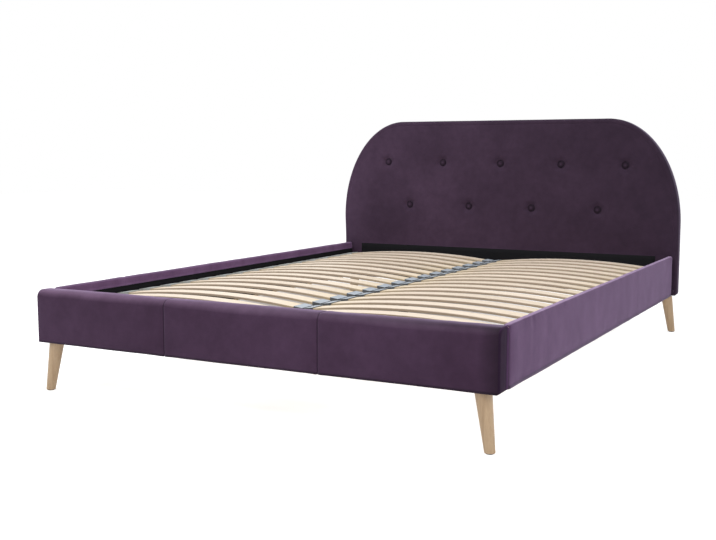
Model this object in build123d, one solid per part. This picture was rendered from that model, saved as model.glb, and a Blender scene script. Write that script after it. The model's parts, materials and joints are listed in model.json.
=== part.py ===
from build123d import *
import math
import os

# Upholstered bed with a tufted headboard, a slatted base and splayed wooden legs.
# Millimetres. +X runs across the bed, +Y from the foot to the headboard, +Z up.
# The origin is on the floor, under the middle of the bed's outline.
# Lengths along the bed are first measured from the footboard's front face.

# Mattress and the room it needs
mattress_width = 1530.0
mattress_length = 2030.0
mattress_side_play = 18.0
mattress_end_play = 9.0

# Frame
frame_bottom = 162.0
rail_height = 174.0
rail_thickness = 22.0
footboard_thickness = 78.0
cover_thickness = 2.0
lining_thickness = 1.0
fabric_clearance = 0.3
fold_depth = 30.0
hem_width = 11.0
overrun = 5.0

# Side rails
rail_core_thickness = 15.0
rail_top_padding = 6.0
rail_edge_radius = 8.0

# Footboard
footboard_core_thickness = 50.0
footboard_top_padding = 20.0
footboard_end_padding = 8.0
footboard_edge_radius = 24.0
footboard_end_radius = 8.0
footboard_overhang = 1.0
left_seam_place = -278.0
right_seam_place = 266.0
seam_width = 3.0
seam_depth = 1.2

# Headboard
headboard_overhang = 21.0
headboard_top = 936.0
headboard_board_thickness = 30.0
headboard_padding = 11.0
headboard_edge_radius = 11.5
corner_width = 322.0
corner_height = 466.0
headboard_foot_radius = 14.0
crown_height = 10.0
crown_clearance_above_rail = 8.0
crown_ramp_length = 140.0
crown_drop_at_top = 6.0
front_facing_share = -0.9

# Tufted buttons
upper_row_height = 735.0
upper_row_count = 5
upper_row_spacing = 292.0
upper_row_fall = 2.8
lower_row_height = 531.5
lower_row_count = 4
lower_row_spacing = 310.0
lower_row_fall = 1.6
row_shift = 5.0
button_radius = 14.0
button_edge = 2.5
button_dome = 4.5
tuft_depth = 9.0
tuft_floor_radius = 16.0
tuft_mouth_radius = 42.0
tuft_lip = 0.6

# Linings on the inside of the frame
band_half_width = 730.0
band_below_rail_top = 3.0
lining_margin = 9.0
lining_end_margin = 1.0

# Slatted base
slat_count = 17
first_slat_place = 80.0
slat_width = 63.0
slat_thickness = 8.0
slat_rise = 25.0
slat_end_below_rail_top = 62.0
slat_inner_end = 6.0
slat_outer_gap = 6.0
slat_edge_ease = 1.5
holder_width = 71.0
holder_length = 50.0
holder_lid = 2.0
holder_floor = 4.0
holder_clearance = 0.5
holder_gap_to_lining = 8.0
holder_heel_share = 0.33
holder_lip_share = 0.25
centre_holder_half_length = 35.0
centre_holder_waist = 14.0
waist_width = 42.0
waist_drop = 7.0
ledge_width = 42.0
ledge_height = 30.0
ledge_end_gap = 12.0
ledge_chamfer = 7.5

# Centre beam and its support
beam_width = 70.0
beam_height = 45.0
hanger_sheet = 2.5
hanger_depth = 40.0
hanger_ear = 22.0
hanger_clearance = 0.3
hanger_screw_radius = 2.5
hanger_screw_length = 30.0
centre_leg_radius = 19.0
centre_leg_wall = 1.5
centre_plate_width = 60.0
centre_plate_length = 80.0
centre_plate_thickness = 3.0
centre_screw_inset = 10.0
insert_height = 16.0
insert_flange = 2.0
foot_pad_radius = 22.0
foot_pad_height = 10.0
foot_stud_radius = 5.0
foot_stud_length = 34.0
foot_gap = 13.0
stud_clearance = 0.08
insert_clearance = 0.15

# Corner brackets
bracket_leaf = 60.0
bracket_height = 60.0
bracket_sheet = 4.0
bracket_lift = 14.0
bracket_corner_radius = 10.0
bolt_radius = 4.0
bolt_head_radius = 7.0
bolt_head_height = 5.0
rail_bolt_length = 14.0
end_bolt_length = 34.0
bolt_clearance = 0.3
bolt_row_inset = 16.0
bolt_leaf_inset = 44.0

# Splayed legs
leg_top_radius = 24.0
leg_foot_radius = 15.0
leg_splay_x = 24.0
leg_splay_front = 10.0
leg_splay_rear = 7.0
front_leg_side_inset = 54.0
front_leg_depth = 32.0
rear_leg_side_inset = 46.0
rear_leg_depth = 21.0
leg_plate_length = 78.0
leg_plate_width = 36.0
leg_plate_thickness = 2.5
leg_plate_corner = 6.0
leg_bolt_radius = 4.0
leg_bolt_up = 28.0
leg_bolt_down = 26.0
plate_screw_radius = 2.2
plate_screw_head_radius = 4.2
plate_screw_length = 22.0
plate_screw_inset = 9.0
glide_radius = 11.0
glide_height = 3.0

# Worked-out sizes
inner_width = mattress_width + 2 * mattress_side_play
frame_width = inner_width + 2 * rail_thickness
frame_half = frame_width / 2
headboard_front = footboard_thickness + mattress_length + 2 * mattress_end_play
headboard_thickness = headboard_padding + headboard_board_thickness + 2 * cover_thickness
headboard_half = frame_half + headboard_overhang
headboard_back = headboard_front + headboard_thickness
frame_top = frame_bottom + rail_height
core_bottom = frame_bottom + cover_thickness
foam_gap = cover_thickness + fabric_clearance
rail_side_padding = (rail_thickness - 2 * cover_thickness - rail_core_thickness) / 2
rail_core_outer = frame_half - cover_thickness - rail_side_padding
rail_core_inner = rail_core_outer - rail_core_thickness
rail_core_top = frame_top - cover_thickness - rail_top_padding
footboard_core_front = (footboard_thickness - footboard_core_thickness) / 2
footboard_half = frame_half + footboard_overhang
footboard_core_half = footboard_half - cover_thickness - footboard_end_padding
footboard_core_top = frame_top - cover_thickness - footboard_top_padding
fold_bottom = frame_top - fold_depth
board_front = headboard_front + cover_thickness + headboard_padding
slat_end_height = frame_top - slat_end_below_rail_top
ledge_top = slat_end_height - holder_floor - holder_clearance
lining_inner = rail_core_inner - lining_thickness
slat_outer_end = lining_inner - holder_gap_to_lining - slat_outer_gap
slat_chord = slat_outer_end - slat_inner_end
slat_radius = ((slat_chord / 2) ** 2 + slat_rise**2) / (2 * slat_rise)
slat_middle = (slat_outer_end + slat_inner_end) / 2
slat_slope = math.degrees(math.asin(slat_chord / 2 / slat_radius))
slat_pitch = (headboard_front - footboard_thickness - 2 * first_slat_place) / (slat_count - 1)
first_slat = footboard_thickness + first_slat_place
beam_top = ledge_top
band_front = headboard_front - lining_thickness
centre_leg_place = (footboard_thickness + headboard_front) / 2
centre_plate_top = beam_top - beam_height
insert_bottom = foot_pad_height + foot_gap
leg_plate_bottom = core_bottom - leg_plate_thickness
centre_shift = -headboard_back / 2


def box_between(corner, opposite):
    size = [abs(opposite[i] - corner[i]) for i in range(3)]
    centre = [(opposite[i] + corner[i]) / 2 for i in range(3)]
    return Pos(*centre) * Box(*size)


def mirrored(shape):
    return mirror(shape, about=Plane.YZ)


def cylinder_along(direction, radius, length, start):
    return extrude(Plane(origin=start, z_dir=direction) * Circle(radius), length)


def along_y(sketch, start, end):
    """Extrudes a sketch drawn as X and Z from start to end along the bed."""
    return extrude(Plane(origin=(0, start, 0), x_dir=(1, 0, 0), z_dir=(0, -1, 0)) * sketch, start - end)


def along_x(sketch, start, end):
    """Extrudes a sketch drawn as Y and Z from start to end across the bed."""
    return extrude(Plane(origin=(start, 0, 0), x_dir=(0, 1, 0), z_dir=(1, 0, 0)) * sketch, end - start)


def rounded_top(low, high, bottom, top, radius):
    """A rectangle whose two upper corners are rounded."""
    sketch = Pos((low + high) / 2, (bottom + top) / 2) * Rectangle(high - low, top - bottom)
    return fillet(sketch.vertices().sort_by(Axis.Y)[-2:], radius)


# Bolts of the corner brackets: four brackets, with two bolts in each leaf
def bracket_corners():
    for side in (-1, 1):
        for face, turn in ((footboard_thickness, 1), (band_front, -1)):
            yield side, face, turn


def bolt_axes():
    """The start of each bolt under its head, the direction that it is driven in, and its length."""
    low = frame_bottom + bracket_lift + bolt_row_inset
    high = frame_bottom + bracket_lift + bracket_height - bolt_row_inset
    for side, face, turn in bracket_corners():
        for height in (low, high):
            rail_x = side * (lining_inner - bracket_sheet)
            yield (rail_x, face + turn * bolt_leaf_inset, height), (side, 0, 0), rail_bolt_length
            end_x = side * (lining_inner - bolt_leaf_inset)
            yield (end_x, face + turn * bracket_sheet, height), (0, -turn, 0), end_bolt_length


def drilled_for_bolts(shape):
    return shape - [
        cylinder_along(direction, bolt_radius + bolt_clearance, length + overrun, start)
        for start, direction, length in bolt_axes()
    ]


def bracket_bolts():
    bolts = []
    for start, direction, length in bolt_axes():
        away = tuple(-c for c in direction)
        shank = cylinder_along(direction, bolt_radius, length, start)
        head_sketch = RegularPolygon(bolt_head_radius, 6)
        head = extrude(Plane(origin=start, z_dir=away) * head_sketch, bolt_head_height)
        bolts.append(shank + head)
    return bolts


def bracket(side, face, turn):
    """An angle of two leaves, one on the rail and one on the end board."""
    low = frame_bottom + bracket_lift
    high = low + bracket_height
    corner_x = side * lining_inner
    rail_leaf = box_between(
        (corner_x, face, low), (side * (lining_inner - bracket_sheet), face + turn * bracket_leaf, high)
    )
    free = rail_leaf.edges().filter_by(Axis.X).sort_by(Axis.Y, reverse=turn > 0)[:2]
    rail_leaf = fillet(free, bracket_corner_radius)
    end_leaf = box_between(
        (corner_x, face, low), (side * (lining_inner - bracket_leaf), face + turn * bracket_sheet, high)
    )
    free = end_leaf.edges().filter_by(Axis.Y).sort_by(Axis.X, reverse=side < 0)[:2]
    end_leaf = fillet(free, bracket_corner_radius)
    return drilled_for_bolts(rail_leaf + end_leaf)


def corner_brackets():
    return [bracket(*corner) for corner in bracket_corners()]


# Side rails
def rail_form(inset):
    radius = rail_edge_radius - inset
    low = frame_half - rail_thickness + inset
    return rounded_top(low, frame_half - inset, frame_bottom + inset, frame_top - inset, radius)


def rail_box(x_low, x_high, z_low, z_high, start, end):
    return box_between((x_low, start, z_low), (x_high, end, z_high))


def rail_cover():
    start = footboard_thickness + fabric_clearance
    end = headboard_front - fabric_clearance
    skin = along_y(rail_form(0) - rail_form(cover_thickness), start, end)
    below = rail_box(
        frame_half - rail_thickness - overrun, frame_half - cover_thickness - hem_width,
        frame_bottom - overrun, fold_bottom, start - overrun, end + overrun,
    )
    return skin - below


def rail_foam():
    start = footboard_thickness + fabric_clearance
    end = headboard_front - fabric_clearance
    pad = along_y(rail_form(foam_gap), start, end)
    pad -= rail_box(
        rail_core_inner, rail_core_outer, frame_bottom, rail_core_top, start - overrun, end + overrun
    )
    pad -= rail_box(
        frame_half - rail_thickness, rail_core_outer,
        frame_bottom, fold_bottom, start - overrun, end + overrun
    )
    return pad


def rail_board():
    start = footboard_thickness + fabric_clearance
    end = headboard_front - fabric_clearance
    board = rail_box(rail_core_inner, rail_core_outer, core_bottom, rail_core_top, start, end)
    return drilled_for_bolts(board)


def rail_lining():
    start = footboard_thickness + lining_end_margin
    end = headboard_front - lining_end_margin
    cloth = rail_box(
        lining_inner, rail_core_inner,
        frame_bottom + lining_margin, fold_bottom - fabric_clearance, start, end
    )
    return drilled_for_bolts(cloth)


def slat_ledge():
    start = footboard_thickness + ledge_end_gap
    end = headboard_front - ledge_end_gap
    ledge_bottom = ledge_top - ledge_height
    batten = rail_box(lining_inner - ledge_width, lining_inner, ledge_bottom, ledge_top, start, end)
    lower = batten.edges().filter_by(Axis.Y).sort_by(Axis.Z)[:2].sort_by(Axis.X)[0]
    return chamfer(lower, ledge_chamfer)


# Footboard
def footboard_form(inset, end_radius):
    outline = rounded_top(
        inset, footboard_thickness - inset,
        frame_bottom + inset, frame_top - inset, footboard_edge_radius - inset
    )
    form = along_x(outline, -footboard_half + inset, footboard_half - inset)
    ends = form.faces().sort_by(Axis.X)
    floor = frame_bottom + inset + seam_width
    rims = [e for face in (ends[0], ends[-1]) for e in face.edges() if e.center().Z > floor]
    return fillet(rims, end_radius)


def seam_places():
    return [left_seam_place, right_seam_place]


def footboard_cover():
    skin = footboard_form(0, footboard_end_radius)
    skin -= footboard_form(cover_thickness, footboard_end_radius - cover_thickness)
    half = footboard_half - cover_thickness - hem_width
    skin -= box_between(
        (-half, cover_thickness + hem_width, frame_bottom - overrun),
        (half, footboard_thickness - cover_thickness - hem_width, core_bottom + overrun),
    )
    skin -= box_between(
        (-half, footboard_thickness - 2 * cover_thickness, frame_bottom + lining_margin),
        (half, footboard_thickness + overrun, fold_bottom),
    )
    groove_ring = rounded_top(
        -overrun, footboard_thickness + overrun,
        frame_bottom, frame_top + overrun, footboard_edge_radius + overrun
    )
    groove_ring -= rounded_top(
        seam_depth, footboard_thickness - seam_depth, frame_bottom - overrun, frame_top - seam_depth,
        footboard_edge_radius - seam_depth,
    )
    for place in seam_places():
        skin -= along_x(groove_ring, place - seam_width / 2, place + seam_width / 2)
    return skin


def footboard_foam():
    pad = footboard_form(foam_gap, footboard_end_radius - foam_gap)
    pad -= box_between(
        (-footboard_core_half, footboard_core_front, frame_bottom),
        (footboard_core_half, footboard_core_front + footboard_core_thickness, footboard_core_top),
    )
    return drilled_for_hanger(drilled_for_bolts(pad))


def footboard_board():
    board = box_between(
        (-footboard_core_half, footboard_core_front, core_bottom),
        (footboard_core_half, footboard_core_front + footboard_core_thickness, footboard_core_top),
    )
    return drilled_for_all(board)


def footboard_lining():
    half = footboard_half - cover_thickness - hem_width - fabric_clearance
    cloth = box_between(
        (-half, footboard_thickness - cover_thickness, frame_bottom + lining_margin + fabric_clearance),
        (half, footboard_thickness, fold_bottom - fabric_clearance),
    )
    return drilled_for_hanger(drilled_for_bolts(cloth))


# Headboard
def headboard_outline(inset):
    half = headboard_half - inset
    bottom = frame_bottom + inset
    top = headboard_top - inset
    width = corner_width - inset
    height = corner_height - inset
    spring = top - height
    sides = Polyline((-half, spring), (-half, bottom), (half, bottom), (half, spring))
    right = EllipticalCenterArc((half - width, spring), width, height, 0, arc_size=90)
    level = Line((half - width, top), (-half + width, top))
    left = EllipticalCenterArc((-half + width, spring), width, height, 90, arc_size=90)
    face = make_face([*sides.edges(), right.edge(), level.edge(), left.edge()])
    return fillet(face.vertices().sort_by(Axis.Y)[:2], headboard_foot_radius - inset)


def crown_profile(inset):
    """Y and Z section that is flat behind the rails and swells gently above them."""
    flat = headboard_front + inset
    start = frame_top + crown_clearance_above_rail
    full = start + crown_ramp_length
    peak = flat - crown_height
    top = headboard_top + overrun
    back = headboard_back - inset
    bottom = frame_bottom - overrun
    lower = TangentArc((flat, start), ((flat + peak) / 2, (start + full) / 2), tangent=(0, 1))
    upper = TangentArc(lower @ 1, (peak, full), tangent=lower % 1)
    over = TangentArc((peak, full), (peak + crown_drop_at_top, top), tangent=(0, 1))
    rest = Polyline(over @ 1, (back, top), (back, bottom), (flat, bottom), (flat, start))
    return make_face([lower.edge(), upper.edge(), over.edge(), *rest.edges()])


def crown_surface(height):
    """The Y of the headboard's front face at a height on its swollen part."""
    full = frame_top + crown_clearance_above_rail + crown_ramp_length
    top = headboard_top + overrun
    crown_radius = ((top - full) ** 2 + crown_drop_at_top**2) / (2 * crown_drop_at_top)
    return headboard_front - crown_height + crown_radius - math.sqrt(crown_radius**2 - (height - full) ** 2)


def headboard_form(inset):
    slab = along_y(headboard_outline(inset), headboard_front - 2 * crown_height, headboard_back - inset)
    form = slab & along_x(crown_profile(inset), -headboard_half - overrun, headboard_half + overrun)
    front_faces = [f for f in form.faces() if f.normal_at(f.center()).Y < front_facing_share]
    seen = {}
    for face in front_faces:
        for edge in face.edges():
            key = tuple(round(c, 3) for c in edge.center())
            seen.setdefault(key, []).append(edge)
    rim = [edges[0] for edges in seen.values() if len(edges) == 1]
    return fillet(rim, headboard_edge_radius - inset)


def tuft_places():
    """The middle of each tuft on the front face. Each row falls a little to the right."""
    rows = (
        (upper_row_height, upper_row_count, upper_row_spacing, upper_row_fall),
        (lower_row_height, lower_row_count, lower_row_spacing, lower_row_fall),
    )
    places = []
    for middle_height, count, spacing, fall in rows:
        for k in range(count):
            step = k - (count - 1) / 2
            height = middle_height - fall * step
            places.append((step * spacing + row_shift, crown_surface(height), height))
    return places


def tuft_cutter(inset):
    """A funnel with a rounded lip, drawn as radius and height out of the front face."""
    floor_radius = tuft_floor_radius + inset
    mouth_radius = tuft_mouth_radius + inset
    run = mouth_radius - floor_radius
    drop = tuft_depth + tuft_lip
    lip_radius = (run**2 + drop**2) / (2 * drop)
    middle = math.asin(run / lip_radius) / 2
    floor = (floor_radius, -inset - tuft_depth)
    mouth = (mouth_radius, -inset + tuft_lip)
    halfway = (mouth_radius - lip_radius * math.sin(middle), mouth[1] - lip_radius * (1 - math.cos(middle)))
    wall = ThreePointArc(floor, halfway, mouth)
    rest = Polyline(mouth, (mouth_radius, overrun), (0, overrun), (0, floor[1]), floor)
    return revolve(make_face([wall.edge(), *rest.edges()]), Axis.Y)


def with_tufts(form, inset):
    funnel = tuft_cutter(inset)
    return form - [Pos(*place) * Rot(0, 0, 180) * funnel for place in tuft_places()]


def headboard_cover():
    skin = with_tufts(headboard_form(0), 0) - with_tufts(headboard_form(cover_thickness), cover_thickness)
    window = along_y(
        headboard_outline(cover_thickness + hem_width),
        headboard_back - 2 * cover_thickness, headboard_back + overrun
    )
    skin -= window
    half_length = leg_plate_length / 2 + fabric_clearance
    half_width = leg_plate_width / 2 + fabric_clearance
    for x, y, z in leg_plate_places():
        skin -= box_between(
            (x - half_length, y - half_width, z - overrun),
            (x + half_length, y + half_width, core_bottom),
        )
    return drilled_for_hanger(drilled_for_bolts(skin))


def headboard_foam():
    pad = with_tufts(headboard_form(foam_gap), foam_gap)
    keep = along_y(headboard_outline(0), headboard_front - 2 * crown_height, board_front)
    return drilled_for_hanger(drilled_for_bolts(pad & keep))


def headboard_board():
    back = headboard_back - cover_thickness
    return drilled_for_all(along_y(headboard_outline(foam_gap), board_front, back))


def headboard_back_lining():
    back = headboard_back - cover_thickness
    outline = headboard_outline(cover_thickness + hem_width + fabric_clearance)
    return along_y(outline, back, back + lining_thickness)


def headboard_band():
    cloth = box_between(
        (-band_half_width, band_front, frame_bottom + lining_margin),
        (band_half_width, headboard_front, frame_top - band_below_rail_top),
    )
    return drilled_for_hanger(drilled_for_bolts(cloth))


def button():
    """A covered button with a domed face, drawn as radius and height."""
    peak = button_edge + button_dome
    dome = TangentArc((0, peak), (button_radius, button_edge), tangent=(1, 0))
    rest = Polyline((button_radius, button_edge), (button_radius, 0), (0, 0), (0, peak))
    return revolve(make_face([dome.edge(), *rest.edges()]), Axis.Y)


def tuft_buttons():
    disc = button()
    return [Pos(x, y + tuft_depth, z) * Rot(0, 0, 180) * disc for x, y, z in tuft_places()]


# Slats and their holders
def slat_places():
    return [first_slat + k * slat_pitch for k in range(slat_count)]


def slat_centre_height():
    return slat_end_height + slat_rise - slat_radius


def slat():
    """One bent slat on the right, with eased long edges and ends cut square to its curve."""
    section = Rectangle(slat_width, slat_thickness)
    section = chamfer(section.vertices(), slat_edge_ease)
    apex = Plane.YZ * Pos(0, slat_radius + slat_thickness / 2) * section
    bent = Rot(0, -slat_slope, 0) * revolve(apex, Axis.Y, 2 * slat_slope)
    return Pos(slat_middle, 0, slat_centre_height()) * bent


def slat_row(place):
    piece = Pos(0, place, 0) * slat()
    return [piece, mirrored(piece)]


def pocket(end_x, direction):
    """The room for a slat's end, tilted as the slat is, open towards its middle."""
    side = Align.MIN if direction > 0 else Align.MAX
    room = Rectangle(2 * holder_length, slat_thickness + 2 * holder_clearance, align=(side, Align.MIN))
    tilted = Pos(end_x, slat_end_height - holder_clearance) * Rot(0, 0, direction * slat_slope) * room
    half = slat_width / 2 + holder_clearance
    return along_y(tilted, -half, half)


def holder_outline(wall_x, mouth_x):
    """Side view of one pocket: flat below, its lid tilted as the slat is."""
    reach = abs(mouth_x - wall_x)
    lid_at_wall = slat_end_height + slat_thickness + holder_lid + holder_clearance
    lid_at_mouth = lid_at_wall + reach * math.tan(math.radians(slat_slope))
    lip = ledge_top + (lid_at_mouth - ledge_top) * holder_lip_share
    inward = 1 if mouth_x > wall_x else -1
    heel = mouth_x - inward * reach * holder_heel_share
    return make_face(
        Polyline(
            (wall_x, ledge_top), (heel, ledge_top), (mouth_x, lip), (mouth_x, lid_at_mouth),
            (wall_x, lid_at_wall), (wall_x, ledge_top),
        ).edges()
    )


def outer_holder():
    wall_x = lining_inner - holder_gap_to_lining
    mouth_x = wall_x - holder_length
    body = along_y(holder_outline(wall_x, mouth_x), -holder_width / 2, holder_width / 2)
    body = fillet(body.edges().filter_by(Axis.Z).sort_by(Axis.X)[-2:], holder_lid)
    return body - pocket(slat_outer_end + holder_clearance, -1)


def centre_holder():
    half_waist = centre_holder_waist / 2
    end_x = slat_inner_end - holder_clearance
    wall_x = end_x - holder_lid
    cup = along_y(holder_outline(wall_x, centre_holder_half_length), -holder_width / 2, holder_width / 2)
    cup -= pocket(end_x, 1)
    waist_top = slat_end_height + slat_thickness - waist_drop
    waist = box_between((-half_waist, -waist_width / 2, ledge_top), (half_waist, waist_width / 2, waist_top))
    keep_out = pocket(end_x, 1)
    return (waist - keep_out - mirrored(keep_out)) + cup + mirrored(cup)


def right_slat_holders():
    holder = outer_holder()
    return [Pos(0, place, 0) * holder for place in slat_places()]


def left_slat_holders():
    return [mirrored(holder) for holder in right_slat_holders()]


def centre_slat_holders():
    holder = centre_holder()
    return [Pos(0, place, 0) * holder for place in slat_places()]


# Centre beam, its hangers and its leg
def hanger_screw_places():
    ear = beam_width / 2 + hanger_clearance + hanger_sheet + hanger_ear / 2
    middle = beam_top - beam_height / 2
    for face, turn in ((footboard_thickness, 1), (band_front, -1)):
        for side in (-1, 1):
            yield (side * ear, face + turn * hanger_sheet, middle), (0, -turn, 0)


def drilled_for_hanger(shape):
    return shape - [
        cylinder_along(direction, hanger_screw_radius + hanger_clearance, hanger_screw_length + overrun, start)
        for start, direction in hanger_screw_places()
    ]


def hanger_screws():
    screws = []
    for start, direction in hanger_screw_places():
        away = tuple(-c for c in direction)
        shank = cylinder_along(direction, hanger_screw_radius, hanger_screw_length, start)
        head = cylinder_along(away, 2 * hanger_screw_radius, hanger_screw_radius, start)
        screws.append(shank + head)
    return screws


def beam_hanger(face, turn):
    """A steel shoe open at the top, with an ear on each side for its screw."""
    half = beam_width / 2 + hanger_clearance
    outer = half + hanger_sheet
    low = beam_top - beam_height
    rim = beam_top - hanger_sheet
    wall = face + turn * hanger_sheet
    far = face + turn * hanger_depth
    shoe = box_between((-outer, face, low - hanger_sheet), (outer, far, rim))
    room = box_between((-half, wall, low), (half, far + turn * overrun, beam_top))
    ears = box_between((-outer - hanger_ear, face, low - hanger_sheet), (outer + hanger_ear, wall, rim))
    return drilled_for_hanger(shoe - room + ears)


def front_beam_hanger():
    return beam_hanger(footboard_thickness, 1)


def rear_beam_hanger():
    return beam_hanger(band_front, -1)


def centre_beam():
    gap = hanger_sheet + hanger_clearance
    beam = box_between(
        (-beam_width / 2, footboard_thickness + gap, beam_top - beam_height),
        (beam_width / 2, band_front - gap, beam_top),
    )
    return drilled_for_centre_screws(beam)


def centre_screw_places():
    half_x = centre_plate_width / 2 - centre_screw_inset
    half_y = centre_plate_length / 2 - centre_screw_inset
    return [
        (x, centre_leg_place + y, centre_plate_top - centre_plate_thickness)
        for x in (-half_x, half_x)
        for y in (-half_y, half_y)
    ]


def drilled_for_centre_screws(shape):
    return shape - [
        cylinder_along((0, 0, 1), plate_screw_radius + bolt_clearance, plate_screw_length + overrun, start)
        for start in centre_screw_places()
    ]


def centre_leg_tube():
    low = insert_bottom + insert_flange
    high = centre_plate_top - centre_plate_thickness
    tube = cylinder_along((0, 0, 1), centre_leg_radius, high - low, (0, centre_leg_place, low))
    bore = cylinder_along((0, 0, 1), centre_leg_radius - centre_leg_wall, high - low, (0, centre_leg_place, low))
    plate = box_between(
        (-centre_plate_width / 2, centre_leg_place - centre_plate_length / 2, high),
        (centre_plate_width / 2, centre_leg_place + centre_plate_length / 2, centre_plate_top),
    )
    plate = fillet(plate.edges().filter_by(Axis.Z), centre_screw_inset / 2)
    return drilled_for_centre_screws((tube - bore) + plate)


def centre_leg_insert():
    place = (0, centre_leg_place, insert_bottom)
    flange = cylinder_along((0, 0, 1), centre_leg_radius, insert_flange, place)
    plug_radius = centre_leg_radius - centre_leg_wall - insert_clearance
    plug = cylinder_along((0, 0, 1), plug_radius, insert_height, place)
    thread = cylinder_along((0, 0, 1), foot_stud_radius + stud_clearance, insert_height, place)
    return flange + plug - thread


def levelling_foot_stud():
    return cylinder_along((0, 0, 1), foot_stud_radius, foot_stud_length, (0, centre_leg_place, foot_pad_height))


def levelling_foot_pad():
    pad = cylinder_along((0, 0, 1), foot_pad_radius, foot_pad_height, (0, centre_leg_place, 0))
    upper = pad.edges().filter_by(GeomType.CIRCLE).sort_by(Axis.Z)[-1]
    return chamfer(upper, foot_pad_height / 2)


# Wooden legs with their plates, bolts and glides
def leg_list():
    """Where each leg meets the frame, and how far its foot splays along the bed."""
    front_x = frame_half - front_leg_side_inset
    rear_x = headboard_half - rear_leg_side_inset
    return {
        "front": (front_x, front_leg_depth, -leg_splay_front),
        "rear": (rear_x, headboard_front + rear_leg_depth, leg_splay_rear),
    }


def leg_plate_places():
    return [(side * x, y, leg_plate_bottom) for x, y, _ in leg_list().values() for side in (-1, 1)]


def plate_screw_places():
    reach = leg_plate_length / 2 - plate_screw_inset
    return [(x + shift, y, z) for x, y, z in leg_plate_places() for shift in (-reach, reach)]


def drilled_for_all(board):
    """Holes for the bracket bolts, the hanger's screws, and the legs' bolts and screws."""
    leg_holes = [
        cylinder_along((0, 0, 1), leg_bolt_radius + bolt_clearance, leg_bolt_up + overrun, place)
        for place in leg_plate_places()
    ]
    screw_holes = [
        cylinder_along((0, 0, 1), plate_screw_radius + bolt_clearance, plate_screw_length + overrun, start)
        for start in plate_screw_places()
    ]
    return drilled_for_hanger(drilled_for_bolts(board)) - leg_holes - screw_holes


def leg(name, side):
    """A round tapered leg, leaning outwards, cut level at its top and foot."""
    x, y, splay_y = leg_list()[name]
    top = Vector(side * x, y, leg_plate_bottom)
    foot = Vector(side * (x + leg_splay_x), y + splay_y, glide_height)
    run = (top - foot).length
    axis = (top - foot).normalized()
    spare = leg_top_radius
    taper = (leg_top_radius - leg_foot_radius) / run * spare
    cone = Plane(origin=foot - axis * spare, z_dir=axis) * Cone(
        leg_foot_radius - taper, leg_top_radius + taper, run + 2 * spare,
        align=(Align.CENTER, Align.CENTER, Align.MIN),
    )
    reach = leg_splay_x + 2 * leg_top_radius
    slab = box_between(
        (top.X - reach, top.Y - reach, glide_height), (top.X + reach, top.Y + reach, leg_plate_bottom)
    )
    socket = cylinder_along(
        (0, 0, -1), leg_bolt_radius + bolt_clearance, leg_bolt_down + bolt_clearance, tuple(top)
    )
    return (cone & slab) - socket


def countersunk(start, grow):
    """The cone of a screw's head, grown by a clearance."""
    depth = plate_screw_head_radius - plate_screw_radius
    head = Cone(
        plate_screw_head_radius + grow, plate_screw_radius + grow, depth,
        align=(Align.CENTER, Align.CENTER, Align.MIN),
    )
    return Pos(*start) * head


def leg_plates():
    sketch = RectangleRounded(leg_plate_length, leg_plate_width, leg_plate_corner)
    holes = [countersunk(start, bolt_clearance) for start in plate_screw_places()]
    holes += [
        cylinder_along((0, 0, 1), plate_screw_radius + bolt_clearance, plate_screw_length, start)
        for start in plate_screw_places()
    ]
    holes += [
        cylinder_along((0, 0, 1), leg_bolt_radius + bolt_clearance, leg_bolt_up, place)
        for place in leg_plate_places()
    ]
    return [extrude(Pos(*place) * sketch, leg_plate_thickness) - holes for place in leg_plate_places()]


def leg_bolts():
    length = leg_bolt_down + leg_bolt_up
    return [
        cylinder_along((0, 0, 1), leg_bolt_radius, length, (x, y, z - leg_bolt_down))
        for x, y, z in leg_plate_places()
    ]


def leg_plate_screws():
    return [
        cylinder_along((0, 0, 1), plate_screw_radius, plate_screw_length, start) + countersunk(start, 0)
        for start in plate_screw_places()
    ]


def centre_leg_screws():
    screws = []
    for start in centre_screw_places():
        shank = cylinder_along((0, 0, 1), plate_screw_radius, plate_screw_length, start)
        head = cylinder_along((0, 0, -1), plate_screw_head_radius, plate_screw_radius, start)
        screws.append(shank + head)
    return screws


def leg_glides():
    glides = []
    for x, y, splay_y in leg_list().values():
        for side in (-1, 1):
            place = (side * (x + leg_splay_x), y + splay_y, 0)
            glides.append(cylinder_along((0, 0, 1), glide_radius, glide_height, place))
    return glides


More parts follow.
